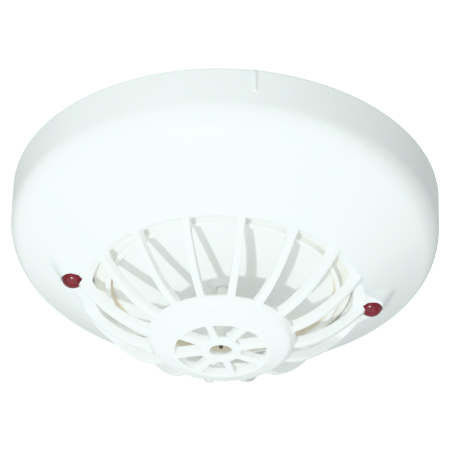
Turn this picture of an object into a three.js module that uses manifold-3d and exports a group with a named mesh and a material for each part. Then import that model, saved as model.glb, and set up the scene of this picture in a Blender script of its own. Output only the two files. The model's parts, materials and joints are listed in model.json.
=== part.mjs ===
// Ceiling heat detector: a bayonet base and a detector head with an open thermistor cage.
// Millimetres, +Z up. The origin is the centre of the ceiling face of the base, and the
// detector hangs down to negative Z. The two indicator lamps lie on the X axis and the
// alignment mark on the skirt faces -Y.
import * as THREE from 'three';
import { mergeVertices } from 'three/addons/utils/BufferGeometryUtils.js';
import Module from 'manifold-3d';

const wasm = await Module();
wasm.setup();

// ---------------------------------------------------------------- driving dimensions
const TURN = 2 * Math.PI;
const DEG = Math.PI / 180;
const GAP = 0.3; // clearance between pieces that rest on each other

const COVER_R = 50; // outer radius of the skirt
const COVER_TOP = -0.6; // the skirt stops just short of the ceiling
const COVER_WALL = 2;
const SHOULDER_TOP = -9.8; // the skirt starts to turn inwards here
const SHOULDER_R = 45; // radius where the shoulder has become the sloping face
const SHOULDER_Z = -17.95;
const RIM_R = 32.6; // edge of the cover's opening
const RIM_Z = -27.67;

const MARK_W = 1; // raised alignment mark on the skirt
const MARK_L = 6;
const MARK_PROUD = 0.4;

const GUARD_RING_R = 32.3; // outer edge of the guard's ring
const GUARD_RING_INNER_R = 29.9;
const GUARD_TOP = -21.9;
const RING_NECK_Z = -24.6; // above this the ring widens into a flange
const RING_FLANGE_R = 33.5;
const RING_FLANGE_Z = -23.7;
const RING_CANT = 0.9; // the lower face of the ring rises inwards by this much
const RIB_COUNT = 16;
const RIB_W = 1.7;
const RIB_DEPTH = 2.4;
const RIB_ROOT_R = 32.2;
const RIB_ROOT_Z = -28;
const RIB_STEPS = 6;
const RIB_BOW = 2.4; // how far the rib bows out from a straight line
const HUB_R = 17.05;
const HUB_EDGE_Z = -39.2; // lower face of the hub at its outer edge
const HUB_OPENING_R = 10.4;
const HUB_Z = -42.8; // lower face of the hub at its opening
const HUB_T = 2.3; // thickness of the hub at its opening
const HUB_EDGE_T = 1.3;
const SPOKE_COUNT = 8;
const SPOKE_W = 1.5;
const SPOKE_DEPTH = 2.2;
const SPOKE_RECESS = 0.1; // the spokes lie just above the lower face of the hub
const BOSS_R = 4.7;
const BOSS_HOLE_R = 2.55;
const BOSS_T = 1.35;

const LAMP_X = 34.5; // distance of each indicator lamp from the axis
const LAMP_Z = -26.5; // plane in which the dome of the lamp starts
const LAMP_R = 2.3;
const LAMP_EAR_R = 3.6; // ear of the guard that carries the lamp
const LAMP_EAR_Z = -27.1;
const LAMP_FLANGE = 0.5; // the lamp's flange stands out by this much
const LAMP_CUT_LOW = -30; // heights between which the holes for the lamps are cut
const LAMP_CUT_HIGH = -20;

const FLOOR_R = 33; // floor plate that closes the electronics off
const FLOOR_FLANGE_Z = -21.6;
const FLOOR_FLANGE_T = 1.3;
const MOAT_R = 29.6; // groove that runs round the dish, just inside the guard's ring
const MOAT_Z = -24.2;
const DISH_RIM_R = 27; // raised rim of the shallow dish in the middle
const DISH_RIM_W = 1.3;
const DISH_RIM_Z = -26.2;
const DISH_Z = -24.3;
const FLOOR_WALL = 1.5;
const COLLAR_R = 3; // collar round the thermistor sleeve
const COLLAR_DEPTH = 1.5;
const SLEEVE_HOLE_R = 1.8;
const SLEEVE_R = 1.45;
const SLEEVE_BORE_R = 0.55;
const SLEEVE_END_R = 0.9;
const SLEEVE_TOP = -22.4;
const SLEEVE_END = -40.35;
const BEAD_R = 0.6;
const BEAD_Z = -41.3; // the bead hangs just inside the hole of the boss
const PILLAR_R = 29.8; // pillars that carry the circuit board
const PILLAR_POST_R = 1.8;
const BOARD_TOP = -13.5;
const BOARD_T = 1.6;
const BOARD_R = 33;

const BASE_R = 46.8;
const BASE_PLATE_T = 2.4;
const BASE_DEPTH = 8.6;
const BASE_RIM_T = 1.6;
const LEDGE_INNER_R = 42.7; // bayonet ledges of the base
const LEDGE_T = 1.6;
const LEDGE_ARC = 24 * DEG;
const CABLE_HOLE_R = 9;
const FIXING_R = 30; // the two fixing slots are 60 mm apart
const SLOT_W = 4.5;
const SLOT_L = 9;
const SEAT_W = 13; // raised seats round the fixing slots
const SEAT_L = 17;
const SEAT_T = 1;
const BAYONET_COUNT = 3;

const CHASSIS_R = 46.5;
const CHASSIS_TOP = -9.3;
const CHASSIS_T = 2;
const CHASSIS_WALL_R = 42;
const CHASSIS_WALL_T = 1.8;
const LUG_R = 44.8;
const LUG_TOP = -4.6;
const LUG_T = 2;
const LUG_ARC = 14 * DEG;
const SCREW_R = 37; // circle of the screws that join chassis and cover
const SCREW_COUNT = 3;
const SCREW_START = 30 * DEG;
const COVER_BOSS_R = 3.2;
const PILOT_R = 1.5; // pilot holes for those screws
const PILOT_DEPTH = 8;
const SCREW_CLEARANCE_R = 2.1;

const TERMINAL_COUNT = 4;
const TERMINAL_R = 29;
const TERMINAL_START = 45 * DEG;
const PAD_BOTTOM = -4.2;
const PAD_R = 4;
const TERMINAL_HOLE_R = 1.9;
const CLAMP_W = 6.2;
const STRIP_T = 0.8;
const STRIP_W = 5;
const BLADE_TOP = -8.1;
const BLADE_OFFSET = 21 * DEG; // blade angle past its terminal screw

// ---------------------------------------------------------------- materials
function finish(color, roughness, metalness = 0) {
  return new THREE.MeshStandardMaterial({ color, roughness, metalness });
}
const WHITE = 0xf3f5f4;
const IVORY = 0xe9e6dc;
const RED = 0x8c0f23;
const GREEN = 0x2f6b46;
const BLACK = 0x1c1c1e;
const BRASS = 0xc9a24b;
const STEEL = 0xb9bcc0;
const BEAD = 0x2a2420;

// ---------------------------------------------------------------- solids
// A closed geometry becomes a manifold solid whose triangles face outwards.
function solid(geometry) {
  const bare = geometry.clone();
  bare.deleteAttribute('normal');
  bare.deleteAttribute('uv');
  const merged = mergeVertices(bare, 1e-4);
  const position = merged.attributes.position;
  const index = merged.index.array;
  const corners = [];
  const a = new THREE.Vector3();
  const b = new THREE.Vector3();
  const c = new THREE.Vector3();
  let volume = 0;
  for (let i = 0; i < index.length; i += 3) {
    const [p, q, r] = index.slice(i, i + 3);
    if (p === q || q === r || r === p) continue;
    corners.push(p, q, r);
    a.fromBufferAttribute(position, p);
    b.fromBufferAttribute(position, q);
    c.fromBufferAttribute(position, r);
    volume += a.dot(b.cross(c));
  }
  if (volume < 0) corners.reverse();
  return new wasm.Manifold(new wasm.Mesh({
    numProp: 3,
    vertProperties: new Float32Array(position.array),
    triVerts: new Uint32Array(corners),
  }));
}

function geometryOf(body) {
  const mesh = body.getMesh();
  const geometry = new THREE.BufferGeometry();
  geometry.setAttribute('position', new THREE.BufferAttribute(mesh.vertProperties, 3));
  geometry.setIndex(new THREE.BufferAttribute(mesh.triVerts, 1));
  geometry.computeVertexNormals();
  return geometry;
}

function named(name, body, material) {
  const mesh = new THREE.Mesh(geometryOf(body), material);
  mesh.name = name;
  return mesh;
}

function joined(bodies) {
  return bodies.reduce((sum, body) => sum.add(body));
}

function cut(body, tools) {
  return tools.reduce((rest, tool) => rest.subtract(tool), body);
}

// Profile points are [radius, z]; the ring closes on itself or ends on the axis.
function turned(profile, segments = 48) {
  const points = profile.map(([radius, z]) => new THREE.Vector2(radius, z));
  const onAxis = profile[0][0] === 0 && profile[profile.length - 1][0] === 0;
  if (!onAxis) points.push(points[0].clone());
  const geometry = new THREE.LatheGeometry(points, segments);
  geometry.rotateX(Math.PI / 2);
  return solid(geometry);
}

// A ring between two radii and two heights; an inner radius of 0 makes a disc.
function ring(outer, inner, low, high, segments = 48) {
  return turned([[inner, low], [outer, low], [outer, high], [inner, high]], segments);
}

function post(radius, low, high, x = 0, y = 0, segments = 16) {
  const geometry = new THREE.CylinderGeometry(radius, radius, high - low, segments);
  geometry.rotateX(Math.PI / 2);
  geometry.translate(x, y, (low + high) / 2);
  return solid(geometry);
}

function block(x, y, z, at = [0, 0, 0]) {
  const geometry = new THREE.BoxGeometry(x, y, z);
  geometry.translate(...at);
  return solid(geometry);
}

function flat(shape, low, high, curveSegments = 6) {
  const settings = { depth: high - low, bevelEnabled: false, curveSegments };
  const geometry = new THREE.ExtrudeGeometry(shape, settings);
  geometry.translate(0, 0, low);
  return solid(geometry);
}

// Part of a ring, centred on the angle given.
function sector(outer, inner, low, high, middle, arc) {
  const shape = new THREE.Shape();
  shape.absarc(0, 0, outer, middle - arc / 2, middle + arc / 2, false);
  shape.absarc(0, 0, inner, middle + arc / 2, middle - arc / 2, true);
  shape.closePath();
  return flat(shape, low, high);
}

// A shape drawn in the radius-z plane, given a thickness and turned to its angle.
function upright(shape, thickness, angle) {
  const settings = { depth: thickness, bevelEnabled: false };
  const geometry = new THREE.ExtrudeGeometry(shape, settings);
  geometry.translate(0, 0, -thickness / 2);
  geometry.rotateX(Math.PI / 2);
  geometry.rotateZ(angle);
  return solid(geometry);
}

function around(count, start, make) {
  return Array.from({ length: count }, (_, i) => make(start + (i * TURN) / count, i));
}

function polar(radius, angle) {
  return [radius * Math.cos(angle), radius * Math.sin(angle)];
}

// ---------------------------------------------------------------- detector head
function coverProfile() {
  const outside = new THREE.Path();
  outside.moveTo(COVER_R, COVER_TOP);
  outside.lineTo(COVER_R - 0.15, SHOULDER_TOP);
  const slope = Math.atan2(SHOULDER_Z - RIM_Z, SHOULDER_R - RIM_R);
  const pull = 2;
  outside.bezierCurveTo(
    COVER_R - 0.3, SHOULDER_TOP - 5.1,
    SHOULDER_R + pull * Math.cos(slope), SHOULDER_Z + pull * Math.sin(slope),
    SHOULDER_R, SHOULDER_Z,
  );
  outside.lineTo(RIM_R, RIM_Z);
  return outside.getPoints(7).map((point) => [point.x, point.y]);
}

// The profile moved sideways by the wall thickness, towards the inside of the shell.
function insideOf(profile, wall) {
  return profile.map(([radius, z], i) => {
    const [r0, z0] = profile[Math.max(i - 1, 0)];
    const [r1, z1] = profile[Math.min(i + 1, profile.length - 1)];
    const length = Math.hypot(r1 - r0, z1 - z0);
    return [radius + (wall * (z1 - z0)) / length, z - (wall * (r1 - r0)) / length];
  });
}

function outerCover() {
  const outside = coverProfile();
  const inside = insideOf(outside, COVER_WALL);
  inside[0] = [COVER_R - COVER_WALL, COVER_TOP];
  const last = inside.length - 1;
  const slope = Math.atan2(SHOULDER_Z - RIM_Z, SHOULDER_R - RIM_R);
  inside[last] = [RIM_R, RIM_Z + COVER_WALL / Math.cos(slope)];
  const shell = turned([...outside, ...inside.reverse()], 64);
  const reach = MARK_PROUD + 0.5;
  const mark = block(MARK_W, reach, MARK_L, [
    0, -(COVER_R - 0.6 + reach / 2), COVER_TOP - MARK_L / 2,
  ]);
  // The bosses stop halfway through the cover's wall.
  const core = turned([[0, COVER_TOP], ...insideOf(outside, COVER_WALL / 2), [0, RIM_Z]]);
  const bossTop = CHASSIS_TOP - CHASSIS_T - GAP;
  const bosses = around(SCREW_COUNT, SCREW_START, (angle) => {
    const [x, y] = polar(SCREW_R, angle);
    return post(COVER_BOSS_R, RIM_Z, bossTop, x, y).intersect(core);
  });
  const pilots = around(SCREW_COUNT, SCREW_START, (angle) => {
    const [x, y] = polar(SCREW_R, angle);
    return post(PILOT_R, bossTop - PILOT_DEPTH, bossTop + 1, x, y, 12);
  });
  const ears = [-1, 1].map((side) => post(
    LAMP_EAR_R + GAP, LAMP_CUT_LOW, LAMP_CUT_HIGH, side * LAMP_X, 0, 24,
  ));
  return named('outer_cover', cut(joined([shell, mark, ...bosses]), [...pilots, ...ears]),
    finish(WHITE, 0.38));
}

function ribShape() {
  const span = RIB_ROOT_R - HUB_R + 0.8;
  const drop = RIB_ROOT_Z - HUB_EDGE_Z;
  const outer = [];
  for (let i = 0; i <= RIB_STEPS; i += 1) {
    const t = i / RIB_STEPS;
    outer.push([RIB_ROOT_R - span * t, RIB_ROOT_Z - drop * t - 4 * RIB_BOW * t * (1 - t)]);
  }
  const inner = insideOf(outer, RIB_DEPTH).reverse();
  const points = [...outer, ...inner].map(([radius, z]) => new THREE.Vector2(radius, z));
  return new THREE.Shape(points);
}

function guardRing() {
  return turned([
    [GUARD_RING_R, RIM_Z - 0.23],
    [GUARD_RING_R, RING_NECK_Z],
    [RING_FLANGE_R, RING_FLANGE_Z],
    [RING_FLANGE_R, GUARD_TOP],
    [GUARD_RING_INNER_R, GUARD_TOP],
    [GUARD_RING_INNER_R, RIM_Z + RING_CANT],
  ]);
}

function guardHub() {
  return turned([
    [HUB_R, HUB_EDGE_Z],
    [(HUB_R + HUB_OPENING_R) / 2, (HUB_EDGE_Z + HUB_Z) / 2 - 0.35],
    [HUB_OPENING_R, HUB_Z],
    [HUB_OPENING_R, HUB_Z + HUB_T],
    [HUB_R, HUB_EDGE_Z + HUB_EDGE_T],
  ]);
}

function sensorGuard() {
  const shape = ribShape();
  const ribs = around(RIB_COUNT, 0, (angle) => upright(shape, RIB_W, angle));
  const reach = HUB_OPENING_R - BOSS_R + 0.8;
  const middle = (HUB_OPENING_R + BOSS_R) / 2;
  const spokes = around(SPOKE_COUNT, TURN / 16, (angle) => {
    const geometry = new THREE.BoxGeometry(reach, SPOKE_W, SPOKE_DEPTH);
    geometry.translate(middle, 0, HUB_Z + SPOKE_RECESS + SPOKE_DEPTH / 2);
    geometry.rotateZ(angle);
    return solid(geometry);
  });
  const boss = ring(BOSS_R, BOSS_HOLE_R, HUB_Z, HUB_Z + BOSS_T, 24);
  const ears = [-1, 1].map((side) => post(LAMP_EAR_R, LAMP_EAR_Z, GUARD_TOP, side * LAMP_X, 0, 24));
  const holes = [-1, 1].map((side) => post(
    LAMP_R + GAP, LAMP_CUT_LOW, LAMP_CUT_HIGH, side * LAMP_X, 0, 20,
  ));
  const bulk = joined([guardRing(), guardHub(), boss, ...ribs, ...spokes, ...ears]);
  return named('sensor_guard', cut(bulk, holes), finish(WHITE, 0.38));
}

function floorPlate() {
  const top = FLOOR_FLANGE_Z + FLOOR_FLANGE_T;
  const inside = DISH_Z + FLOOR_WALL;
  const plate = turned([
    [FLOOR_R, top],
    [FLOOR_R, FLOOR_FLANGE_Z],
    [MOAT_R, FLOOR_FLANGE_Z],
    [MOAT_R, MOAT_Z],
    [DISH_RIM_R, MOAT_Z],
    [DISH_RIM_R, DISH_RIM_Z],
    [DISH_RIM_R - DISH_RIM_W, DISH_RIM_Z],
    [DISH_RIM_R - DISH_RIM_W, DISH_Z],
    [COLLAR_R, DISH_Z],
    [COLLAR_R - 0.4, DISH_Z - COLLAR_DEPTH],
    [SLEEVE_HOLE_R, DISH_Z - COLLAR_DEPTH],
    [SLEEVE_HOLE_R, inside],
    [DISH_RIM_R - FLOOR_WALL, inside],
    [DISH_RIM_R - FLOOR_WALL, top],
  ]);
  const pillars = around(SCREW_COUNT, SCREW_START, (angle) => {
    const [x, y] = polar(PILLAR_R, angle);
    return post(PILLAR_POST_R, top - 0.5, BOARD_TOP - BOARD_T - GAP, x, y, 12);
  });
  const notches = [-1, 1].map((side) => post(
    LAMP_R + 0.9, top - 4, top + 1, side * LAMP_X, 0,
  ));
  return named('floor_plate', cut(joined([plate, ...pillars]), notches), finish(WHITE, 0.45));
}

// A clear red lamp: flange inside the guard, round dome below it.
function indicatorLamp(name, side) {
  const flangeTop = GUARD_TOP + 1.2;
  const rim = LAMP_R + LAMP_FLANGE;
  const profile = [[0, flangeTop], [rim, flangeTop], [rim, GUARD_TOP + GAP]];
  const steps = 5;
  for (let i = 0; i <= steps; i += 1) {
    const angle = (i / steps) * (Math.PI / 2);
    profile.push([LAMP_R * Math.cos(angle), LAMP_Z - LAMP_R * Math.sin(angle)]);
  }
  profile.splice(3, 0, [LAMP_R, GUARD_TOP + GAP]);
  profile[profile.length - 1][0] = 0;
  const lamp = named(name, turned(profile, 20), finish(RED, 0.12));
  lamp.position.set(side * LAMP_X, 0, 0);
  return lamp;
}

// Each lamp has two leads that run up and bend inwards to the circuit board.
function lampLead(name, side, y) {
  const low = GUARD_TOP + 1.2 + GAP;
  const path = new THREE.CurvePath();
  const corner = new THREE.Vector3(side * LAMP_X, y, -17.6);
  const end = new THREE.Vector3(side * (BOARD_R - 1.6), y, BOARD_TOP - BOARD_T - 2 * GAP);
  path.add(new THREE.LineCurve3(new THREE.Vector3(side * LAMP_X, y, low), corner));
  path.add(new THREE.LineCurve3(corner, end));
  const section = new THREE.Shape();
  section.absarc(0, 0, 0.3, 0, TURN, false);
  const settings = { extrudePath: path, steps: 8, bevelEnabled: false, curveSegments: 2 };
  return named(name, solid(new THREE.ExtrudeGeometry(section, settings)), finish(STEEL, 0.3, 1));
}

function thermistorSleeve() {
  return named('thermistor_sleeve', turned([
    [SLEEVE_BORE_R, SLEEVE_TOP],
    [SLEEVE_BORE_R, SLEEVE_END],
    [SLEEVE_END_R, SLEEVE_END],
    [SLEEVE_END_R + 0.05, SLEEVE_END + 1],
    [SLEEVE_R, DISH_Z - 0.4],
    [SLEEVE_R, SLEEVE_TOP],
  ], 16), finish(IVORY, 0.5));
}

function thermistorBead() {
  const bead = new THREE.SphereGeometry(BEAD_R, 12, 8);
  const body = named('thermistor_bead', solid(bead), finish(BEAD, 0.35));
  body.position.set(0, 0, BEAD_Z);
  return body;
}

// Two insulated cores moulded side by side, from the board to the bead.
function thermistorLead() {
  const section = new THREE.Shape();
  section.absarc(0.12, 0, 0.12, -Math.PI / 2, Math.PI / 2, false);
  section.absarc(-0.12, 0, 0.12, Math.PI / 2, Math.PI * 1.5, false);
  section.closePath();
  const leadEnd = SLEEVE_END + 0.05;
  const lead = named('thermistor_lead', flat(section, leadEnd, BOARD_TOP - BOARD_T - GAP, 4),
    finish(BRASS, 0.4, 0.6));
  return lead;
}

function circuitBoard() {
  const top = BOARD_TOP;
  const disc = turned([[0, top - BOARD_T], [BOARD_R, top - BOARD_T], [BOARD_R, top], [0, top]], 48);
  return named('circuit_board', disc, finish(GREEN, 0.5));
}

function boardParts() {
  const under = BOARD_TOP - BOARD_T - GAP;
  const capacitor = named('smoothing_capacitor', post(2.5, under - 5.6, under, 12, 10, 20),
    finish(BLACK, 0.4));
  const chip = named('control_chip', block(8.7, 3.9, 1.5, [-11, 8, under - 0.75]),
    finish(BLACK, 0.5));
  const comparator = named('comparator_chip', block(4.9, 3.9, 1.5, [-10, -9, under - 0.75]),
    finish(BLACK, 0.5));
  const diode = named('bridge_rectifier', block(6.2, 6.4, 2.4, [11, -10, under - 1.2]),
    finish(BLACK, 0.5));
  return [capacitor, chip, comparator, diode];
}

function headChassis() {
  const bottom = CHASSIS_TOP - CHASSIS_T;
  const plate = ring(CHASSIS_R, 6, bottom, CHASSIS_TOP);
  const wall = ring(CHASSIS_WALL_R, CHASSIS_WALL_R - CHASSIS_WALL_T, CHASSIS_TOP - 0.5, LUG_TOP);
  const lugs = around(BAYONET_COUNT, Math.PI / 2, (angle) => sector(
    LUG_R, CHASSIS_WALL_R - 0.6, LUG_TOP - LUG_T, LUG_TOP, angle, LUG_ARC,
  ));
  const holes = around(SCREW_COUNT, SCREW_START, (angle) => {
    const [x, y] = polar(SCREW_R, angle);
    return post(SCREW_CLEARANCE_R, bottom - 1, CHASSIS_TOP + 1, x, y, 12);
  });
  const slots = around(TERMINAL_COUNT, TERMINAL_START + BLADE_OFFSET, (angle) => {
    const geometry = new THREE.BoxGeometry(STRIP_W + 0.8, STRIP_T + 0.8, 5);
    geometry.translate(TERMINAL_R, 0, CHASSIS_TOP - CHASSIS_T / 2);
    geometry.rotateZ(angle);
    return solid(geometry);
  });
  return named('head_chassis', cut(joined([plate, wall, ...lugs]), [...holes, ...slots]),
    finish(WHITE, 0.5));
}

// T-shaped contact: a wiping face above the chassis and a leg down to the board.
function contactBlade(name, angle) {
  const bottom = BLADE_TOP - STRIP_T;
  const face = block(STRIP_W, 7, STRIP_T, [TERMINAL_R, 0, (BLADE_TOP + bottom) / 2]);
  const legLow = BOARD_TOP + GAP;
  const leg = block(STRIP_W, STRIP_T, bottom - legLow + 0.4, [
    TERMINAL_R, 0, (bottom + legLow) / 2 + 0.2,
  ]);
  const blade = named(name, face.add(leg), finish(BRASS, 0.35, 1));
  blade.rotation.z = angle;
  return blade;
}

// Pan-head screw with a cross slot; the head is at the top when `up` is true.
function screw(name, shank, length, head, headHeight, up) {
  const bolt = ring(shank, 0, -length, 0.2, 12);
  const cap = turned([
    [0, 0], [head, 0], [head, headHeight * 0.6], [head * 0.75, headHeight], [0, headHeight],
  ], 16);
  const slots = [0, 1].map((turn) => {
    const geometry = new THREE.BoxGeometry(head * 1.2, 0.6, headHeight);
    geometry.translate(0, 0, headHeight);
    geometry.rotateZ((turn * Math.PI) / 2);
    return solid(geometry);
  });
  const mesh = named(name, cut(bolt.add(cap), slots), finish(STEEL, 0.3, 1));
  if (!up) mesh.rotation.x = Math.PI;
  return mesh;
}

function chassisScrews() {
  return around(SCREW_COUNT, SCREW_START, (angle, i) => {
    const part = screw(`chassis_screw_${i + 1}`, 1.15, 8.5, 2.9, 1.4, true);
    part.position.set(...polar(SCREW_R, angle), CHASSIS_TOP + GAP);
    return part;
  });
}

// ---------------------------------------------------------------- mounting base
function slotAt(x, low, high) {
  const shape = new THREE.Shape();
  const half = (SLOT_L - SLOT_W) / 2;
  shape.absarc(x, half, SLOT_W / 2, 0, Math.PI, false);
  shape.absarc(x, -half, SLOT_W / 2, Math.PI, TURN, false);
  shape.closePath();
  return flat(shape, low, high);
}

function mountingBase() {
  const body = turned([
    [CABLE_HOLE_R, 0],
    [BASE_R, 0],
    [BASE_R, -BASE_DEPTH],
    [BASE_R - BASE_RIM_T, -BASE_DEPTH],
    [BASE_R - BASE_RIM_T, -BASE_PLATE_T],
    [CABLE_HOLE_R + 1.5, -BASE_PLATE_T],
    [CABLE_HOLE_R + 1.5, -BASE_PLATE_T - 1.2],
    [CABLE_HOLE_R, -BASE_PLATE_T - 1.2],
  ]);
  const ledges = around(BAYONET_COUNT, Math.PI / 2, (angle) => sector(
    BASE_R - 0.5, LEDGE_INNER_R, -BASE_DEPTH, -BASE_DEPTH + LEDGE_T, angle, LEDGE_ARC,
  ));
  // Stops that the lugs meet when the head is turned home.
  const stops = around(BAYONET_COUNT, Math.PI / 2 + LUG_ARC / 2 + 2 * DEG, (angle) => sector(
    BASE_R - 0.5, LEDGE_INNER_R, -BASE_DEPTH, -BASE_PLATE_T + 0.5, angle, 3 * DEG,
  ));
  const pads = around(TERMINAL_COUNT, TERMINAL_START, (angle) => {
    const [x, y] = polar(TERMINAL_R, angle);
    return post(PAD_R, PAD_BOTTOM, -BASE_PLATE_T + 0.5, x, y);
  });
  const seats = [-1, 1].map((side) => block(SEAT_W, SEAT_L, SEAT_T + 0.5, [
    side * FIXING_R, 0, -BASE_PLATE_T - SEAT_T / 2 + 0.25,
  ]));
  const holes = around(TERMINAL_COUNT, TERMINAL_START, (angle) => {
    const [x, y] = polar(TERMINAL_R, angle);
    return post(TERMINAL_HOLE_R, PAD_BOTTOM - 1, -BASE_PLATE_T / 2, x, y, 12);
  });
  const slots = [-1, 1].map((side) => slotAt(side * FIXING_R, -6, 1));
  return named('mounting_base',
    cut(joined([body, ...ledges, ...stops, ...pads, ...seats]), [...holes, ...slots]),
    finish(WHITE, 0.5));
}

// Sprung strip under each terminal screw; its far end presses on a contact blade.
function terminalContact(name, angle) {
  const top = PAD_BOTTOM - GAP;
  const low = BLADE_TOP + 0.4;
  const shape = new THREE.Shape([
    new THREE.Vector2(-3.4, top),
    new THREE.Vector2(4.2, top),
    new THREE.Vector2(9.4, low + STRIP_T),
    new THREE.Vector2(12.4, low + STRIP_T),
    new THREE.Vector2(12.4, low),
    new THREE.Vector2(9.1, low),
    new THREE.Vector2(3.9, top - STRIP_T),
    new THREE.Vector2(-3.4, top - STRIP_T),
  ]);
  const settings = { depth: STRIP_W, bevelEnabled: false };
  const geometry = new THREE.ExtrudeGeometry(shape, settings);
  geometry.translate(0, 0, -STRIP_W / 2);
  geometry.rotateX(Math.PI / 2);
  geometry.rotateZ(Math.PI / 2);
  const hole = post(TERMINAL_HOLE_R, top - STRIP_T - 1, top + 1, 0, 0, 12);
  const contact = named(name, solid(geometry).subtract(hole), finish(BRASS, 0.35, 1));
  contact.position.set(...polar(TERMINAL_R, angle), 0);
  contact.rotation.z = angle;
  return contact;
}

function clampPlate(name, angle) {
  const top = PAD_BOTTOM - 2 * GAP - STRIP_T;
  const plate = block(CLAMP_W, CLAMP_W, STRIP_T, [0, 0, top - STRIP_T / 2]);
  const hole = post(TERMINAL_HOLE_R, top - 3, top + 1, 0, 0, 12);
  const clamp = named(name, plate.subtract(hole), finish(STEEL, 0.35, 1));
  clamp.position.set(...polar(TERMINAL_R, angle), 0);
  clamp.rotation.z = angle;
  return clamp;
}

function terminalParts() {
  const headTop = PAD_BOTTOM - 3 * GAP - 2 * STRIP_T;
  return around(TERMINAL_COUNT, TERMINAL_START, (angle, i) => {
    const number = i + 1;
    const fixing = screw(`terminal_screw_${number}`, 1.5, 4.6, 2.9, 1, false);
    fixing.position.set(...polar(TERMINAL_R, angle), headTop);
    return [
      terminalContact(`terminal_contact_${number}`, angle),
      clampPlate(`clamp_plate_${number}`, angle),
      fixing,
    ];
  }).flat();
}

// ---------------------------------------------------------------- assembly
const base = new THREE.Group();
base.add(mountingBase(), ...terminalParts());

const blades = around(TERMINAL_COUNT, TERMINAL_START + BLADE_OFFSET, (angle, i) => (
  contactBlade(`contact_blade_${i + 1}`, angle)
));
const lamps = [
  indicatorLamp('indicator_lamp_left', -1),
  indicatorLamp('indicator_lamp_right', 1),
];
const leads = [
  lampLead('lamp_lead_left_a', -1, -1.27),
  lampLead('lamp_lead_left_b', -1, 1.27),
  lampLead('lamp_lead_right_a', 1, -1.27),
  lampLead('lamp_lead_right_b', 1, 1.27),
];
const head = new THREE.Group();
head.add(
  outerCover(),
  sensorGuard(),
  floorPlate(),
  headChassis(),
  circuitBoard(),
  thermistorSleeve(),
  thermistorBead(),
  thermistorLead(),
  ...boardParts(),
  ...blades,
  ...chassisScrews(),
  ...lamps,
  ...leads,
);

const detector = new THREE.Group();
detector.add(base, head);

export default detector;
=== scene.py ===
"""Heat detector: the finished surfaces, the studio and the camera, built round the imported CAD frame.

Blender works in metres. Shapes are drawn in millimetres and scaled by MM as they become meshes.
The detector hangs from the ceiling plane z = 0 down to negative z; its lamps lie on the X axis.
"""

import json

import bmesh
import bpy
import numpy as np
from math import atan2, cos, hypot, pi, radians, sin, tan
from mathutils import Matrix, Vector


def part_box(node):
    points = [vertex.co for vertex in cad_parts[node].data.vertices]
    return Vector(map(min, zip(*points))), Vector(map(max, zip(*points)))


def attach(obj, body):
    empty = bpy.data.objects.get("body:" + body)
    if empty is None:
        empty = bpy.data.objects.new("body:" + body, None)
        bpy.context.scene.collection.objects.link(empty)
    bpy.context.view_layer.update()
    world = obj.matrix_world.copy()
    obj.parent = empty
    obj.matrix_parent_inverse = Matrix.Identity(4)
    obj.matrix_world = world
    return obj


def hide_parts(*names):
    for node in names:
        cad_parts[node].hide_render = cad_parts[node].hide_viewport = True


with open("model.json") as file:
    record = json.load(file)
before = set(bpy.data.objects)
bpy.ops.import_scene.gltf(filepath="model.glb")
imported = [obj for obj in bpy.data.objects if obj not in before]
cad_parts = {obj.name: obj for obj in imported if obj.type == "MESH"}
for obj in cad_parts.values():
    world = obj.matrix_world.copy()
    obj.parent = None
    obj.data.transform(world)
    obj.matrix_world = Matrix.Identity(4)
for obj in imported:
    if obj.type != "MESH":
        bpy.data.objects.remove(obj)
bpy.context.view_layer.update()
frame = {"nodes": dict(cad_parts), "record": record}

MM = 0.001
TURN = 2 * pi

# ---------------------------------------------------------------- sizes, in millimetres


def high(node):
    """Highest corner of a CAD node."""
    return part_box(node)[1] / MM


def low(node):
    """Lowest corner of a CAD node."""
    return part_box(node)[0] / MM


# Outer cover: a skirt, a rounded shoulder and a cone down to the crease.
COVER_R = high("outer_cover").x
COVER_TOP = high("outer_cover").z
SKIRT_DRAFT = 0.2  # the skirt is this much narrower at its foot than at the ceiling
SLOPE = 0.784  # how steeply the cone rises outwards
WALL = 2.0
SHOULDER_ROUND = 9
INNER_ROUND = SHOULDER_ROUND - WALL
SEAM = 0.04  # hairline between two mouldings

# The crease is the line where the cover's cone meets the face of the cage ring.
CREASE_R = 32.3
CREASE_Z = -27.9
SWELL_BAND = 13.0  # the width of the cone that swells together with the crease

# Ears: the crease swells out round both lamps.
EAR_REACH = 4.85
EAR_SPREAD = radians(6.9)
EAR_RISE = 0.75  # the level face of an ear lies this much above the crease
EAR_FLANK = 2.4  # slope of the flank between an ear and the cone
EAR_BLEND = 2.6  # height over which the flank's top melts into the cone

# Sensor guard. Ribs run from a root in the ring to the hub: (radius, z) of their outer edge.
HUB_Z = low("sensor_guard").z
GUARD_TOP = high("sensor_guard").z
RING_INNER_R = 29.9
RING_LEAN = 0.465  # slope of the ring's face
HUB_R = 17.05
OPENING_R = 10.4
BOSS_R = 4.7
BOSS_HOLE_R = 2.55
BOSS_T = 1.35
RIBS = 16
SPOKES = 8
RIB_W = 1.75
RIB_DEPTH = 2.4
RIB_ROOT = (33.1, -27.15)
RIB_ROOT_AT_LAMP = (33.35, -27.7)
RIB_END = (15.6, -39.7)

# Indicator lamps
LAMP_X = (high("indicator_lamp_right").x + low("indicator_lamp_right").x) / 2
LAMP_TIP = low("indicator_lamp_right").z
LAMP_R = 2.5
LAMP_NOSE = 1.95  # the domes are a little flatter than half round
TOOL_LOW = -32  # cutting tools start below the lamps
TOOL_HIGH = -15  # and end above the guard

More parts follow.
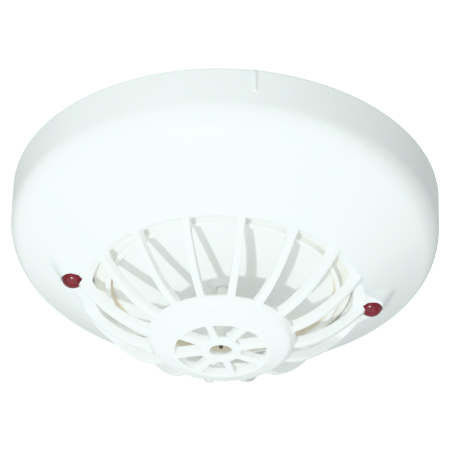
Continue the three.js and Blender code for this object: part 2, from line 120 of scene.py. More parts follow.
# Dished floor and thermistor
DISH_RIM_R = 27.0
DISH_RIM_Z = -26.2
DISH_R = 25.7  # inner wall of the dish rim
DISH_Z = -24.3
MOAT_Z = -24.2
FLANGE_Z = -21.6
SLEEVE_R = 1.45
SLEEVE_TOP = high("thermistor_sleeve").z
SLEEVE_END = low("thermistor_sleeve").z
BEAD_TOP = high("thermistor_bead").z
BEAD_TIP = low("thermistor_bead").z

# ---------------------------------------------------------------- outlines

LONGEST_CUT = 0.49  # share of a side that one rounded corner may use
COARSEST_STEP = radians(18)


def rounded(corners, fine=0.35):
    """Closed outline through corners (x, y, radius), each turned into an arc of that radius."""
    points = []
    count = len(corners)
    for i, (x, y, radius) in enumerate(corners):
        here = Vector((x, y))
        if radius <= 0:
            points.append(here)
            continue
        before = Vector(corners[i - 1][:2]) - here
        after = Vector(corners[(i + 1) % count][:2]) - here
        u, v = before.normalized(), after.normalized()
        half = u.angle(v) / 2
        reach = min(radius / tan(half), before.length * LONGEST_CUT, after.length * LONGEST_CUT)
        radius = reach * tan(half)
        centre = here + (u + v).normalized() * (radius / sin(half))
        start, end = here + u * reach - centre, here + v * reach - centre
        a0, a1 = atan2(start.y, start.x), atan2(end.y, end.x)
        sweep = (a1 - a0 + pi) % TURN - pi
        steps = max(2, int(abs(sweep) * radius / fine), int(abs(sweep) / COARSEST_STEP))
        for k in range(steps + 1):
            a = a0 + sweep * k / steps
            points.append(centre + Vector((cos(a), sin(a))) * radius)
    return points


def divided(points, longest):
    """The same closed outline with no stretch longer than the given length."""
    out = []
    for i, a in enumerate(points):
        b = points[(i + 1) % len(points)]
        steps = max(1, int(np.ceil((b - a).length / longest)))
        out += [a.lerp(b, k / steps) for k in range(steps)]
    return out


# ---------------------------------------------------------------- meshes


def make_object(name, vertices, faces):
    """A mesh object from points in millimetres."""
    mesh = bpy.data.meshes.new(name)
    mesh.from_pydata([tuple(float(c) * MM for c in v) for v in vertices], [], faces)
    mesh.validate()
    shape = bpy.data.objects.new(name, mesh)
    bpy.context.scene.collection.objects.link(shape)
    work = bmesh.new()
    work.from_mesh(mesh)
    bmesh.ops.remove_doubles(work, verts=work.verts, dist=1e-7)
    bmesh.ops.recalc_face_normals(work, faces=work.faces)
    work.to_mesh(mesh)
    work.free()
    return shape


def lathe(name, outline, segments=192, bend=None):
    """Turns a closed outline (radius, z) round the axis. bend(x, y, z) may move the points."""
    angles = np.arange(segments) * TURN / segments
    radius = np.array([p.x for p in outline])
    height = np.array([p.y for p in outline])
    x = np.outer(np.cos(angles), radius).ravel()
    y = np.outer(np.sin(angles), radius).ravel()
    z = np.tile(height, segments)
    if bend:
        x, y, z = bend(x, y, z)
    n = len(outline)
    faces = []
    for s in range(segments):
        a, b = s * n, ((s + 1) % segments) * n
        faces += [(a + i, b + i, b + (i + 1) % n, a + (i + 1) % n) for i in range(n)]
    return make_object(name, np.stack([x, y, z], 1), faces)


def spun(name, outline, segments=64):
    """Turns an open outline (radius, z) that starts and ends on the axis."""
    inner = outline[1:-1]
    n = len(inner)
    vertices = [(0, 0, outline[0].y), (0, 0, outline[-1].y)]
    for s in range(segments):
        a = s * TURN / segments
        vertices += [(p.x * cos(a), p.x * sin(a), p.y) for p in inner]
    faces = []
    for s in range(segments):
        a, b = 2 + s * n, 2 + ((s + 1) % segments) * n
        faces.append((0, a, b))
        faces += [(a + i, a + i + 1, b + i + 1, b + i) for i in range(n - 1)]
        faces.append((1, b + n - 1, a + n - 1))
    return make_object(name, vertices, faces)


def prism(name, outline, low_z, high_z):
    """A plan outline (x, y) raised between two heights."""
    n = len(outline)
    vertices = [(p.x, p.y, low_z) for p in outline] + [(p.x, p.y, high_z) for p in outline]
    faces = [tuple(range(n)), tuple(range(2 * n - 1, n - 1, -1))]
    faces += [(i, (i + 1) % n, n + (i + 1) % n, n + i) for i in range(n)]
    return make_object(name, vertices, faces)


def swept(name, sections):
    """A closed skin through sections, each a loop of as many points, with flat ends."""
    n = len(sections[0])
    vertices = [p for section in sections for p in section]
    last = (len(sections) - 1) * n
    faces = [tuple(range(n)), tuple(range(last + n - 1, last - 1, -1))]
    for k in range(len(sections) - 1):
        a, b = k * n, (k + 1) * n
        faces += [(a + i, a + (i + 1) % n, b + (i + 1) % n, b + i) for i in range(n)]
    return make_object(name, vertices, faces)


def modify(shape, kind, **settings):
    """Adds a modifier, applies it and leaves the plain mesh."""
    modifier = shape.modifiers.new(kind, kind)
    for key, value in settings.items():
        setattr(modifier, key, value)
    graph = bpy.context.evaluated_depsgraph_get()
    mesh = bpy.data.meshes.new_from_object(shape.evaluated_get(graph))
    shape.modifiers.clear()
    old = shape.data
    shape.data = mesh
    mesh.name = shape.name
    bpy.data.meshes.remove(old)
    return shape


def remove(*shapes):
    """Deletes shapes together with their meshes."""
    for shape in shapes:
        mesh = shape.data
        bpy.data.objects.remove(shape)
        bpy.data.meshes.remove(mesh)


def merge(name, shapes):
    """One object that holds the meshes of all the shapes."""
    work = bmesh.new()
    for shape in shapes:
        shape.data.transform(shape.matrix_world)
        work.from_mesh(shape.data)
    mesh = bpy.data.meshes.new(name)
    work.to_mesh(mesh)
    work.free()
    remove(*shapes)
    merged = bpy.data.objects.new(name, mesh)
    bpy.context.scene.collection.objects.link(merged)
    return merged


def carve(shape, tool):
    """Cuts the tool out of the shape and throws the tool away."""
    modify(shape, "BOOLEAN", object=tool, operation="DIFFERENCE", solver="MANIFOLD")
    remove(tool)
    return shape


def smooth(shape, angle=radians(35)):
    """Shades a shape smooth, with sharp edges where faces meet at more than the angle."""
    shape.data.shade_smooth()
    shape.data.set_sharp_from_angle(angle=angle)
    return shape


# ---------------------------------------------------------------- materials


class Finish:
    """A procedural material: object-space nodes round one Principled shader."""

    def __init__(self, name):
        self.material = bpy.data.materials.new(name)
        self.material.use_nodes = True
        self.tree = self.material.node_tree
        self.shader = self.tree.nodes["Principled BSDF"]
        self.place = self.tree.nodes.new("ShaderNodeTexCoord").outputs["Object"]

    def set(self, **values):
        """Sets inputs of the shader, with underscores for the spaces in their names."""
        for key, value in values.items():
            self.shader.inputs[key.replace("_", " ")].default_value = value
        return self

    def noise(self, size_mm, detail=3.0, stretch=(1, 1, 1)):
        """Noise whose features are about size_mm across."""
        place = self.tree.nodes.new("ShaderNodeMapping")
        place.inputs["Scale"].default_value = stretch
        self.tree.links.new(self.place, place.inputs["Vector"])
        noise = self.tree.nodes.new("ShaderNodeTexNoise")
        noise.inputs["Scale"].default_value = 1 / (size_mm * MM)
        noise.inputs["Detail"].default_value = detail
        self.tree.links.new(place.outputs["Vector"], noise.inputs["Vector"])
        return noise.outputs["Fac"]

    def ramp(self, factor, low_colour, high_colour, span=(0.35, 0.65)):
        """Colour that runs from one to the other as the factor crosses the span."""
        ramp = self.tree.nodes.new("ShaderNodeValToRGB")
        ramp.color_ramp.elements[0].position, ramp.color_ramp.elements[1].position = span
        ramp.color_ramp.elements[0].color = (*low_colour, 1)
        ramp.color_ramp.elements[1].color = (*high_colour, 1)
        self.tree.links.new(factor, ramp.inputs["Fac"])
        self.tree.links.new(ramp.outputs["Color"], self.shader.inputs["Base Color"])
        return self

    def rough(self, factor, least, most):
        """Roughness that follows the factor between two limits."""
        span = self.tree.nodes.new("ShaderNodeMapRange")
        span.inputs["To Min"].default_value = least
        span.inputs["To Max"].default_value = most
        self.tree.links.new(factor, span.inputs["Value"])
        self.tree.links.new(span.outputs["Result"], self.shader.inputs["Roughness"])
        return self

    def bump(self, factor, depth_mm, strength=0.3):
        """Fine relief that follows the factor."""
        bump = self.tree.nodes.new("ShaderNodeBump")
        bump.inputs["Strength"].default_value = strength
        bump.inputs["Distance"].default_value = depth_mm * MM
        self.tree.links.new(factor, bump.inputs["Height"])
        self.tree.links.new(bump.outputs["Normal"], self.shader.inputs["Normal"])
        return self


def moulded(name, pale, deep, rough, grain_mm, depth_mm, soft=0.0):
    """Moulded plastic: faint cloudy colour, uneven gloss and a fine spark-eroded grain."""
    cloud_mm, gloss_mm = 14, 3.5
    finish = Finish(name)
    finish.ramp(finish.noise(cloud_mm, 2), deep, pale)
    finish.rough(finish.noise(gloss_mm), *rough)
    finish.bump(finish.noise(grain_mm, 2), depth_mm)
    if soft:
        finish.set(Subsurface_Weight=soft, Subsurface_Scale=MM, Subsurface_Radius=(1.6, 1.1, 0.7))
    return finish.set(IOR=1.5)


def painted_shade_band(finish, colour, inner_mm, outer_mm, lowest_mm, blend_mm=0.25):
    """Paints shade into the plastic: multiplies its colour by a tint in a band between two radii, above a
    level, with soft borders.
    """
    tree = finish.tree
    apart = tree.nodes.new("ShaderNodeSeparateXYZ")
    tree.links.new(finish.place, apart.inputs["Vector"])
    flat = tree.nodes.new("ShaderNodeVectorMath")
    flat.operation = "MULTIPLY"
    flat.inputs[1].default_value = (1, 1, 0)
    tree.links.new(finish.place, flat.inputs[0])
    length = tree.nodes.new("ShaderNodeVectorMath")
    length.operation = "LENGTH"
    tree.links.new(flat.outputs["Vector"], length.inputs[0])
    share = None
    spans = (
        (length.outputs["Value"], inner_mm - blend_mm, inner_mm),
        (length.outputs["Value"], outer_mm + blend_mm, outer_mm),
        (apart.outputs["Z"], lowest_mm - blend_mm, lowest_mm),
    )
    for value, start, end in spans:
        span = tree.nodes.new("ShaderNodeMapRange")
        span.inputs["From Min"].default_value = start * MM
        span.inputs["From Max"].default_value = end * MM
        tree.links.new(value, span.inputs["Value"])
        if share is None:
            share = span.outputs["Result"]
            continue
        product = tree.nodes.new("ShaderNodeMath")
        product.operation = "MULTIPLY"
        tree.links.new(share, product.inputs[0])
        tree.links.new(span.outputs["Result"], product.inputs[1])
        share = product.outputs["Value"]
    mix = tree.nodes.new("ShaderNodeMix")
    mix.data_type = "RGBA"
    mix.blend_type = "MULTIPLY"
    colours = [socket for socket in mix.inputs if socket.type == "RGBA"]
    colours[1].default_value = (*colour, 1)
    before = finish.shader.inputs["Base Color"].links[0].from_socket
    tree.links.new(share, mix.inputs["Factor"])
    tree.links.new(before, colours[0])
    result = next(socket for socket in mix.outputs if socket.type == "RGBA")
    tree.links.new(result, finish.shader.inputs["Base Color"])
    return finish


def dish_plastic():
    """Plastic of the floor, with painted warm shade in the moat and painted deep brown shade on the inner
    wall of the rim.
    """
    finish = moulded(
        "inner_plastic",
        pale=(0.955, 0.955, 0.94),
        deep=(0.945, 0.945, 0.925),
        rough=(0.42, 0.55),
        grain_mm=0.30,
        depth_mm=0.015,
        soft=0.12,
    )
    # Painted shade: a pale warm tint for the shaded moat, and a deep brown for the shaded inner wall of the
    # dish rim.
    moat_shade, rim_wall_shade = (0.98, 0.94, 0.88), (0.84, 0.75, 0.61)
    painted_shade_band(finish, moat_shade, DISH_RIM_R + 0.3, CREASE_R, MOAT_Z - 0.4)
    return painted_shade_band(finish, rim_wall_shade, DISH_R - 0.25, DISH_R + 0.15, DISH_RIM_Z + 0.1)


def metal(name, pale, deep, rough, stretch):
    """Rolled or plated metal with fine streaks, which run across the axis of the largest stretch."""
    tarnish_mm, streak_mm, scratch_mm, scratch_depth_mm = 1.6, 0.7, 0.12, 0.01
    finish = Finish(name)
    finish.ramp(finish.noise(tarnish_mm, 4, stretch), deep, pale)
    finish.rough(finish.noise(streak_mm, 3, stretch), *rough)
    finish.bump(finish.noise(scratch_mm, 2, stretch), scratch_depth_mm)
    return finish.set(Metallic=1.0)


def lamp_red():
    """Tinted lens: deep red, with faint clouds in the resin."""
    cloud_mm, gloss_mm = 2.2, 1.5
    finish = Finish("lamp_red")
    finish.ramp(finish.noise(cloud_mm, 2), (0.135, 0.0016, 0.008), (0.19, 0.004, 0.014))
    finish.rough(finish.noise(gloss_mm, 2), 0.17, 0.22)
    return finish.set(IOR=1.5)


PLASTICS = {
    "shell_plastic": dict(
        pale=(0.945, 0.945, 0.94),
        deep=(0.93, 0.93, 0.925),
        rough=(0.30, 0.38),
        grain_mm=0.22,
        depth_mm=0.010,
        soft=0.12,
    ),
    "chassis_plastic": dict(
        pale=(0.80, 0.81, 0.79), deep=(0.77, 0.78, 0.75), rough=(0.42, 0.58), grain_mm=0.35, depth_mm=0.02
    ),
    "sleeve_plastic": dict(
        pale=(0.98, 0.98, 0.96), deep=(0.96, 0.96, 0.94), rough=(0.40, 0.55), grain_mm=0.20, depth_mm=0.01
    ),
    "board_laminate": dict(
        pale=(0.05, 0.20, 0.08), deep=(0.03, 0.15, 0.06), rough=(0.25, 0.45), grain_mm=0.45, depth_mm=0.01
    ),
    "component_black": dict(
        pale=(0.035, 0.035, 0.037), deep=(0.02, 0.02, 0.022), rough=(0.45, 0.6), grain_mm=0.12, depth_mm=0.01
    ),
    "bead_coating": dict(
        pale=(0.05, 0.035, 0.025), deep=(0.02, 0.014, 0.01), rough=(0.15, 0.3), grain_mm=0.4, depth_mm=0.01
    ),
}
METALS = {
    "contact_brass": dict(
        pale=(0.80, 0.58, 0.26), deep=(0.66, 0.46, 0.19), rough=(0.22, 0.38), stretch=(1, 1, 6)
    ),
    "fixing_steel": dict(
        pale=(0.70, 0.71, 0.73), deep=(0.56, 0.57, 0.60), rough=(0.2, 0.36), stretch=(5, 1, 1)
    ),
    "lead_wire": dict(
        pale=(0.76, 0.75, 0.72), deep=(0.62, 0.60, 0.56), rough=(0.22, 0.34), stretch=(1, 1, 8)
    ),
}
MATERIALS = {"inner_plastic": dish_plastic().material, "lamp_red": lamp_red().material}
MATERIALS |= {slot: moulded(slot, **look).material for slot, look in PLASTICS.items()}
MATERIALS |= {slot: metal(slot, **look).material for slot, look in METALS.items()}


def dress(shape, slot, body, *nodes):
    """Gives a finished piece its material and its body, and hides the CAD nodes that it stands for."""
    shape.data.materials.clear()
    shape.data.materials.append(MATERIALS[slot])
    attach(shape, body)
    if nodes:
        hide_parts(*nodes)
    return shape


# ---------------------------------------------------------------- outer cover


def swelling(x, y):
    """0 on the plain ring, rising to 1 in line with a lamp."""
    return 1 / (1 + (np.arctan2(np.abs(y), np.abs(x)) / EAR_SPREAD) ** 4)


def cone(radius):
    """Lower face of the cover."""
    return CREASE_Z + SLOPE * (radius - CREASE_R)


def ring_face(radius):
    """Face of the cage ring: it leans inwards inside the crease and turns level outside it."""
    inside = RING_LEAN * (CREASE_R - radius)
    outside = EAR_RISE * (1 - np.exp(-np.clip(radius - CREASE_R, 0, None)))
    return CREASE_Z + np.where(radius < CREASE_R, inside, outside)


def soft_min(a, b, blend):
    """The lower of two heights, with a fillet where they cross."""
    meet = np.clip(blend - np.abs(a - b), 0, None) / blend
    return np.minimum(a, b) - meet**2 * blend / 4


def moved_out(x, y, z, radius, new_radius):
    """The same points, carried from one distance from the axis to another."""
    scale = new_radius / np.maximum(radius, 1e-6)
    return x * scale, y * scale, z


def round_the_lamps(x, y, z):
    """Pushes the hole of the cover out round both lamps and raises a filleted flank up to it."""
    fade, least_blend = 2.0, 0.04
    radius = np.hypot(x, y)
    ear = swelling(x, y)
    inside_band = CREASE_R + SWELL_BAND - radius
    wider = radius + EAR_REACH * ear * np.clip(inside_band / SWELL_BAND, 0, 1) ** 1.5
    crease = CREASE_R + EAR_REACH * ear
    flank = ring_face(crease) + EAR_FLANK * (wider - crease)
    face = cone(wider)
    proud = soft_min(face, flank, least_blend + EAR_BLEND * np.sqrt(ear)) - face
    share = np.clip(inside_band / fade, 0, 1)
    return moved_out(x, y, z + SLOPE * (wider - radius) + proud * share, radius, wider)


def cover_shell():
    """Hollow cover: skirt, shoulder, cone and the hole for the guard."""
    foot = COVER_R - SKIRT_DRAFT
    hole = CREASE_R + SEAM
    lift = WALL * hypot(1, SLOPE)
    outline = rounded(
        [
            (COVER_R, COVER_TOP, 0.4),
            (foot, cone(foot), SHOULDER_ROUND),
            (hole, cone(hole), 0.12),
            (hole, cone(hole) + lift, 0.2),
            (foot - WALL, cone(foot - WALL) + lift, INNER_ROUND),
            (COVER_R - WALL, COVER_TOP, 0.4),
        ]
    )
    return smooth(lathe("outer_cover_shell", divided(outline, 0.6), 480, round_the_lamps))


def alignment_mark():
    """Raised mark on the skirt: a slim bar with a round lower end."""
    width, length, proud = 0.9, 6.2, 0.38
    sunk, top_gap = 0.5, 0.1
    end_round = 0.44
    outline = rounded(
        [
            (-width / 2, COVER_TOP - top_gap, 0.1),
            (width / 2, COVER_TOP - top_gap, 0.1),
            (width / 2, COVER_TOP - length, end_round),
            (-width / 2, COVER_TOP - length, end_round),
        ],
        fine=0.1,
    )
    middle = COVER_TOP - length / 2
    layers = []
    for height, shrink in ((-sunk, 0), (proud - 0.2, 0), (proud - 0.06, 0.06), (proud, 0.2)):
        narrow, short = 1 - 2 * shrink / width, 1 - 2 * shrink / length
        y = -(COVER_R - 0.1 + height)
        layers.append([(p.x * narrow, y, middle + (p.y - middle) * short) for p in outline])
    return smooth(swept("alignment_mark", layers), radians(50))


# ---------------------------------------------------------------- sensor guard


def rib_line(t, root):
    """Outer edge of a rib in the radius-z plane, from its root (t = 0) to the hub (t = 1)."""
    bow = 2.5
    chord = Vector(root).lerp(Vector(RIB_END), t)
    return chord - Vector((0, 4 * bow * t * (1 - t)))


def flare(t, length):
    """1 at the start of a bar, falling to 0 at the given share of its length."""
    return max(0.0, 1 - t / length)


def rib_section(t):
    """Half width and depth of the rib: slim in the middle, flared at both ends."""
    root, hub = flare(t, 0.16), flare(1 - t, 0.14)
    half = RIB_W / 2 + 0.25 * root**2 + 0.4 * hub**2
    return half, RIB_DEPTH + 0.8 * root


def around(r, across, z, angle):
    """A point r out along a spoke at the given angle, and across to its side."""
    return (r * cos(angle) - across * sin(angle), r * sin(angle) + across * cos(angle), z)


def rib(angle):
    """One curved rib from the ring to the hub. Those beside a lamp start a little further out."""
    steps, edge, taper, nearby = 36, 0.3, 0.94, 0.01
    beside_lamp = abs(sin(angle)) < 0.01
    root = RIB_ROOT_AT_LAMP if beside_lamp else RIB_ROOT
    sections = []
    for k in range(steps + 1):
        t = k / steps
        here = rib_line(t, root)
        ahead = rib_line(min(1, t + nearby), root) - rib_line(max(0, t - nearby), root)
        into = Vector((ahead.y, -ahead.x)).normalized()
        if into.y < 0:
            into = -into
        half, depth = rib_section(t)
        back = half * taper
        loop = rounded(
            [(-half, 0, edge), (half, 0, edge), (back, depth, edge), (-back, depth, edge)], fine=0.3
        )
        inwards = [(here + into * p.y, p.x) for p in loop]
        sections.append([around(point.x, across, point.y, angle) for point, across in inwards])
    return swept("rib", sections)


def ears_out(x, y, z):
    """Carries the ring out round both lamps, where its face turns nearly level."""
    face_ends = -25.5  # every point of the face lies lower than this
    radius = np.hypot(x, y)
    share = np.clip((radius - RING_INNER_R) / (CREASE_R - RING_INNER_R), 0, 1)
    wider = radius + EAR_REACH * swelling(x, y) * share
    lift = np.where(z < face_ends, ring_face(wider) - ring_face(radius), 0)
    return moved_out(x, y, z + lift, radius, wider)


def guard_ring():
    """Ring of the cage, with a flange that is held behind the cover, and both ears."""
    edge = CREASE_R + SEAM / 2
    flange_r, flange_low, neck_z = 33.5, -23.7, -24.6
    outline = rounded(
        [
            (edge, CREASE_Z, 0.1),
            (RING_INNER_R, float(ring_face(RING_INNER_R)), 0.35),
            (RING_INNER_R, GUARD_TOP, 0.1),
            (flange_r, GUARD_TOP, 0.1),
            (flange_r, flange_low, 0.1),
            (edge, neck_z, 0.1),
        ]
    )
    ring = lathe("guard_ring", divided(outline, 0.4), 480, ears_out)
    for side in (-1, 1):
        carve(ring, lamp_bore(side))
    return ring


def lamp_bore(side):
    """Round tool on the axis of a lamp, for the hole that it sits in."""
    reach = LAMP_R + 2 * SEAM
    corners = ((0, TOOL_LOW), (reach, TOOL_LOW), (reach, TOOL_HIGH), (0, TOOL_HIGH))
    bore = spun("lamp_bore", [Vector(corner) for corner in corners])
    bore.data.transform(Matrix.Translation((side * LAMP_X * MM, 0, 0)))
    return bore


def guard_hub():
    """Domed disc with a round opening in the middle."""
    crown_r, crown_z = 15.6, -41.0
    rim_z, rim_back_z = -38.9, -37.9
    hollow_r = 13.5
    opening_depth = 2.5
    outline = rounded(
        [
            (OPENING_R, HUB_Z, 0.3),
            (crown_r, crown_z, 3.0),
            (HUB_R, rim_z, 0.35),
            (HUB_R - 0.9, rim_back_z, 0.3),
            (hollow_r, rim_z, 2),
            (OPENING_R, HUB_Z + opening_depth, 0.3),
        ]
    )
    return lathe("guard_hub", divided(outline, 1.0), 192)


def spoke(angle):
    """Straight bar from the boss to the edge of the opening, flared at both ends."""
    sunk_in_boss, sunk_in_hub, recess = 0.9, 0.8, 0.12
    inner, outer = BOSS_R - sunk_in_boss, OPENING_R + sunk_in_hub
    face = HUB_Z + recess
    back = face + RIB_DEPTH
    steps, taper = 14, 0.9
    sections = []
    for k in range(steps + 1):
        t = k / steps
        r = inner + (outer - inner) * t
        half = RIB_W / 2 + 0.4 * (flare(t, 0.25) ** 2 + flare(1 - t, 0.22) ** 2)
        thin = half * taper
        loop = rounded(
            [(-half, face, 0.35), (half, face, 0.35), (thin, back, 0.3), (-thin, back, 0.3)], fine=0.3
        )
        sections.append([around(r, p.x, p.y, angle) for p in loop])
    return swept("spoke", sections)


def guard_boss():
    """Thin round boss with the hole that the bead looks out of."""
    outline = rounded(
        [
            (BOSS_HOLE_R, HUB_Z, 0.3),
            (BOSS_R, HUB_Z, 0.5),
            (BOSS_R, HUB_Z + BOSS_T, 0.3),
            (BOSS_HOLE_R, HUB_Z + BOSS_T, 0.3),
        ]
    )
    return lathe("guard_boss", outline, 96)


def guard_cage():
    """The whole guard, melted into one moulding with soft inside corners."""
    ribs = [rib(k * TURN / RIBS) for k in range(RIBS)]
    spokes = [spoke((k + 0.5) * TURN / SPOKES) for k in range(SPOKES)]
    cage = merge("sensor_guard_cage", [guard_ring(), guard_hub(), guard_boss(), *ribs, *spokes])
    modify(cage, "REMESH", mode="VOXEL", voxel_size=0.2 * MM)
    modify(cage, "SMOOTH", factor=0.5, iterations=3)
    modify(cage, "DECIMATE", decimate_type="COLLAPSE", ratio=0.3)
    return smooth(cage, radians(50))


# ---------------------------------------------------------------- inside the cage


def floor_moulding():
    """Shallow dish: a level floor inside a raised rim, and a moat between rim and cage ring."""
    plate_r, flange_t, floor_t = 33, 1.3, 1.5
    step_r = RING_INNER_R - 0.15
    cove, cove_z = 0.5, DISH_Z - 0.35
    back_r = 25.5
    collar_r, collar_end_r, collar_z = 3.1, 2.5, DISH_Z - 1.5
    hole_r = SLEEVE_R + SEAM
    outline = rounded(
        [
            (plate_r, FLANGE_Z + flange_t, 0.2),
            (plate_r, FLANGE_Z, 0.2),
            (step_r, FLANGE_Z, 0.05),
            (step_r, MOAT_Z, 0.3),
            (DISH_RIM_R, MOAT_Z, 0.15),
            (DISH_RIM_R, DISH_RIM_Z, 0.2),
            (DISH_R, DISH_RIM_Z, 0.2),
            (DISH_R, cove_z, 0.1),
            (DISH_R - cove, cove_z + 0.05, 0.1),
            (DISH_R - cove - 0.2, DISH_Z, 0.1),
            (collar_r, DISH_Z, 0.5),
            (collar_end_r, collar_z, 0.3),
            (hole_r, collar_z, 0.1),
            (hole_r, DISH_Z + floor_t, 0.1),
            (back_r, DISH_Z + floor_t, 0.3),
            (back_r, FLANGE_Z + flange_t, 0.2),
        ]
    )
    return smooth(lathe("floor_plate_moulding", divided(outline, 3), 256))


def sleeve_moulding():
    """Tapered tube for the thermistor's lead."""
    bore_r, end_r = 0.55, 0.9
    outline = rounded(
        [
            (bore_r, SLEEVE_TOP, 0.05),
            (bore_r, SLEEVE_END, 0.05),
            (end_r, SLEEVE_END, 0.15),
            (end_r + 0.05, SLEEVE_END + 1, 1),
            (SLEEVE_R, DISH_Z - 0.4, 1),
            (SLEEVE_R, SLEEVE_TOP, 0.1),
        ],
        fine=0.1,
    )
    return smooth(lathe("thermistor_sleeve_moulding", divided(outline, 1.5), 48))


def bead_tip():
    """Dipped bead: a drop that narrows towards the lead."""
    half = (BEAD_TOP - BEAD_TIP) / 2
    widest, narrowing = 0.9, 0.2
    outline = [Vector((0, BEAD_TIP))]
    steps = 18
    for k in range(1, steps):
        a = pi * k / steps
        rise = (1 - cos(a)) / 2
        pear = widest - narrowing * rise
        outline.append(Vector((half * sin(a) * pear, BEAD_TIP + 2 * half * rise)))
    outline.append(Vector((0, BEAD_TOP)))
    return smooth(spun("thermistor_bead_tip", outline, 40), radians(80))


def lamp_lens(name, side):
    """Round-nosed lamp with a flange behind the ear and a notch where the rib passes."""
    steps = 20
    flange_top, flange_low = GUARD_TOP + 1.2, GUARD_TOP + 0.35
    flange_r = LAMP_R + 0.25
    nose_z = LAMP_TIP + LAMP_NOSE
    outline = [
        Vector((0, flange_top)),
        Vector((flange_r - 0.1, flange_top)),
        Vector((flange_r, flange_top - 0.1)),
        Vector((flange_r, flange_low)),
        Vector((LAMP_R, flange_low - 0.05)),
        Vector((LAMP_R, nose_z + 1.2)),
    ]
    for k in range(steps):
        a = k / steps * pi / 2
        outline.append(Vector((LAMP_R * cos(a), nose_z - LAMP_NOSE * sin(a))))
    outline.append(Vector((0, LAMP_TIP)))
    lens = spun(name, outline)
    lens.data.transform(Matrix.Translation((side * LAMP_X * MM, 0, 0)))
    return smooth(carve(lens, rib_notch(side)))


def rib_notch(side):
    """Tool for the notch in a lamp: the end of the rib, with a little room round it."""
    half = RIB_W / 2 + 0.1
    inner, outer, corner = 30, 33.2, 0.8
    notch_top = -26.0
    corners = [(inner, -half, 0), (outer, -half, corner), (outer, half, corner), (inner, half, 0)]
    outline = [Vector((side * p.x, p.y)) for p in rounded(corners, fine=0.1)]
    return prism("notch", outline, TOOL_LOW, notch_top)


# ---------------------------------------------------------------- put together

dress(cover_shell(), "shell_plastic", "head", "outer_cover")
dress(alignment_mark(), "shell_plastic", "head")
dress(guard_cage(), "shell_plastic", "head", "sensor_guard")
dress(floor_moulding(), "inner_plastic", "head", "floor_plate")
dress(sleeve_moulding(), "sleeve_plastic", "head", "thermistor_sleeve")
dress(bead_tip(), "bead_coating", "head", "thermistor_bead")
dress(lamp_lens("lamp_lens_left", -1), "lamp_red", "head", "indicator_lamp_left")
dress(lamp_lens("lamp_lens_right", 1), "lamp_red", "head", "indicator_lamp_right")

# The CAD parts that stay visible keep their shapes and get a finish.
SLOT_OF = {row["node"]: row["material_slot"] for row in frame["record"]["subparts"]}
for node, shape in frame["nodes"].items():
    if shape.hide_render:
        continue
    shape.data.materials.clear()
    shape.data.materials.append(MATERIALS[SLOT_OF[node]])
    shape.data.shade_smooth()
    shape.data.set_sharp_from_angle(angle=radians(30))

# ---------------------------------------------------------------- studio floor

FLOOR_Z = -1500  # a room's floor, well below every camera
FLOOR_HALF = 4000
corners = [(x * FLOOR_HALF, y * FLOOR_HALF, FLOOR_Z) for x, y in ((-1, -1), (1, -1), (1, 1), (-1, 1))]
floor = make_object("studio_floor", corners, [(0, 1, 2, 3)])
pale = Finish("studio_floor")
pale.ramp(pale.noise(400, 2), (0.86, 0.86, 0.855), (0.90, 0.90, 0.895))
pale.rough(pale.noise(60), 0.6, 0.75)
floor.data.materials.append(pale.material)

# ---------------------------------------------------------------- camera

# It looks up from below. The aim is the point that it would look at without the pitch and the roll.
AZIMUTH = radians(-6.4)
ELEVATION = radians(34.4)
DISTANCE = 0.608
PITCH = radians(1.11)
ROLL = radians(-1.87)
AIM = Vector((0, 0, -0.022))

turn = Matrix.Rotation(AZIMUTH, 3, "Z")
forward = turn @ Vector((0, cos(ELEVATION), sin(ELEVATION)))
right = turn @ Vector((1, 0, 0))
up = right.cross(forward)

camera = bpy.data.objects.new("camera", bpy.data.cameras.new("camera"))
bpy.context.scene.collection.objects.link(camera)
tilted = forward * cos(PITCH) + up * sin(PITCH)
raised = up * cos(PITCH) - forward * sin(PITCH)
across = right * cos(ROLL) - raised * sin(ROLL)
upright = right * sin(ROLL) + raised * cos(ROLL)
axes = Matrix((across, upright, -tilted)).transposed().to_4x4()
axes.translation = AIM - forward * DISTANCE
camera.matrix_world = axes
camera.data.sensor_width = 36
camera.data.lens = 211
camera.data.clip_start = 0.01
camera.data.clip_end = 20
bpy.context.scene.camera = camera

# ---------------------------------------------------------------- lights


def area_light(name, size, energy, location, from_aim):
    """An area light at a place, turned to shine against the direction from_aim."""
    light = bpy.data.objects.new(name, bpy.data.lights.new(name, "AREA"))
    bpy.context.scene.collection.objects.link(light)
    light.data.size = size
    light.data.energy = energy
    light.location = location
    light.rotation_mode = "QUATERNION"
    light.rotation_quaternion = from_aim.to_track_quat("Z", "Y")
    return light


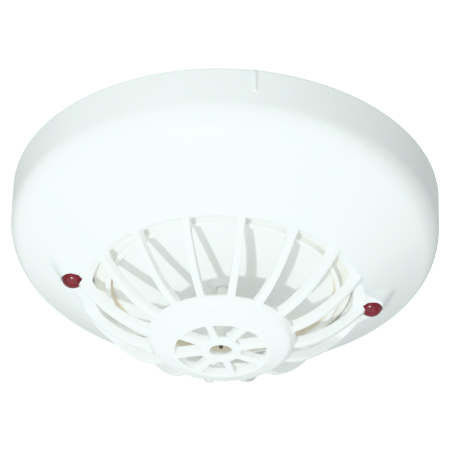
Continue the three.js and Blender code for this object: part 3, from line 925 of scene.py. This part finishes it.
# A small key light casts the sharp shadows of the ribs. Two large ones fill in from below and in front.
key_from = Vector((-0.288, -0.633, -0.719)).normalized()
key = area_light("key_light", 0.018, 1.15, AIM + key_from * 0.5, key_from)
key.data.shape = "DISK"
key.data.color = (1.0, 1.0, 0.99)

softbox = area_light("softbox", 1.2, 2.9, Vector((-0.2, -0.3, -0.6)), Vector((0, 0, -1)))
softbox.data.color = (1.0, 1.0, 0.995)
softbox.visible_camera = False

front_from = Vector((-0.4, -1, -0.2)).normalized()
front = area_light("front_fill", 1.0, 1.3, AIM + front_from * 1.5, front_from)
front.visible_camera = False

# An even, soft room for the object, in front of a backdrop that only the camera sees.
world = bpy.data.worlds.new("studio")
bpy.context.scene.world = world
world.use_nodes = True
tree = world.node_tree
background = tree.nodes["Background"]
background.inputs["Color"].default_value = (1, 1, 0.995, 1)
background.inputs["Strength"].default_value = 0.55
backdrop = tree.nodes.new("ShaderNodeBackground")
backdrop.inputs["Color"].default_value = (1, 1, 1, 1)
backdrop.inputs["Strength"].default_value = 2.4
path = tree.nodes.new("ShaderNodeLightPath")
mix = tree.nodes.new("ShaderNodeMixShader")
tree.links.new(path.outputs["Is Camera Ray"], mix.inputs["Fac"])
tree.links.new(background.outputs["Background"], mix.inputs[1])
tree.links.new(backdrop.outputs["Background"], mix.inputs[2])
tree.links.new(mix.outputs["Shader"], tree.nodes["World Output"].inputs["Surface"])

# ---------------------------------------------------------------- tone curve

view = bpy.context.scene.view_settings
view.view_transform = "Standard"
view.use_curve_mapping = True
FILM_WHITE = 2.0  # scene brightness at the right end of the curves
view.curve_mapping.white_level = (FILM_WHITE, FILM_WHITE, FILM_WHITE)
# Soft shoulder of a camera whose red channel saturates a little early and catches up when overexposed.
SHOULDER = ((0.8, 0.8), (1.0, 0.955), (1.2, 0.985), (1.6, 0.995))
CHANNEL_SHARES = (0.925, 1.0, 0.995)
CATCH_UP_FROM = 1.2
CATCH_UP = 1.4
for curve, share in zip(view.curve_mapping.curves, CHANNEL_SHARES):
    for bright, shown in SHOULDER:
        recovered = max(0.0, bright - CATCH_UP_FROM) * CATCH_UP * (1 - share)
        curve.points.new(bright / FILM_WHITE, shown * share + recovered)
view.curve_mapping.update()
